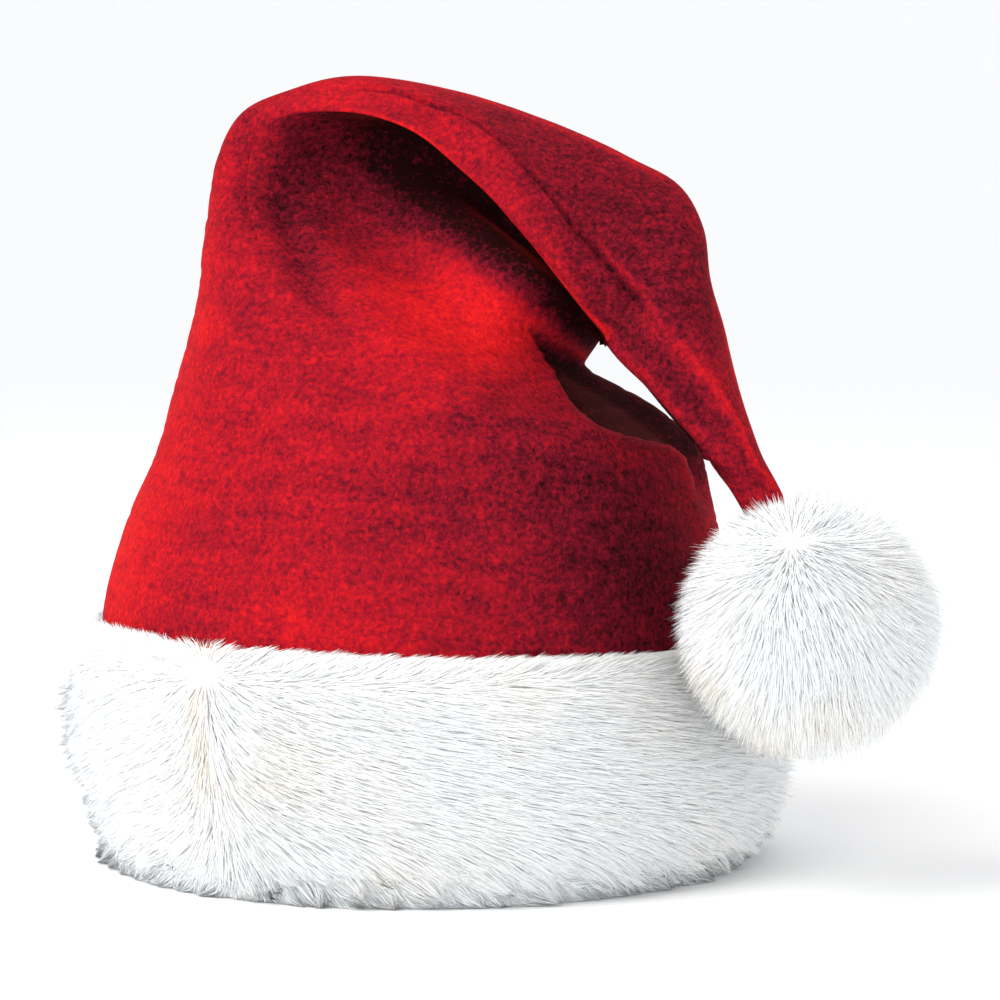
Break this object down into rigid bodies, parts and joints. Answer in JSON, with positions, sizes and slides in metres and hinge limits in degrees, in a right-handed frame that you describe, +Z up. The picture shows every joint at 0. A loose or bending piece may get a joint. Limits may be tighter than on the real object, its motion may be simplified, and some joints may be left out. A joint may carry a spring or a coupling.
{
  "type": "santa hat",
  "caption": "Red plush cap with a fur brim, its tall top folded over to one side and hanging down to a fur pompom.",
  "frame": {"origin": "middle of the base of the hat's bounding box, on the surface that the brim stands on", "axes": "+Z up through the opening and the crown, +X to the side that the tail and pompom hang on, -Y the front"},
  "size_m": [0.2648, 0.2286, 0.2397],
  "materials": {
    "red_plush": "short-pile plush with a soft sheen and mottled nap",
    "white_fur": "long soft white fur in combed locks"
  },
  "bodies": {
    "root": {"crown": "red_plush", "brim": "white_fur", "pompom": "white_fur"}
  },
  "joints": []
}
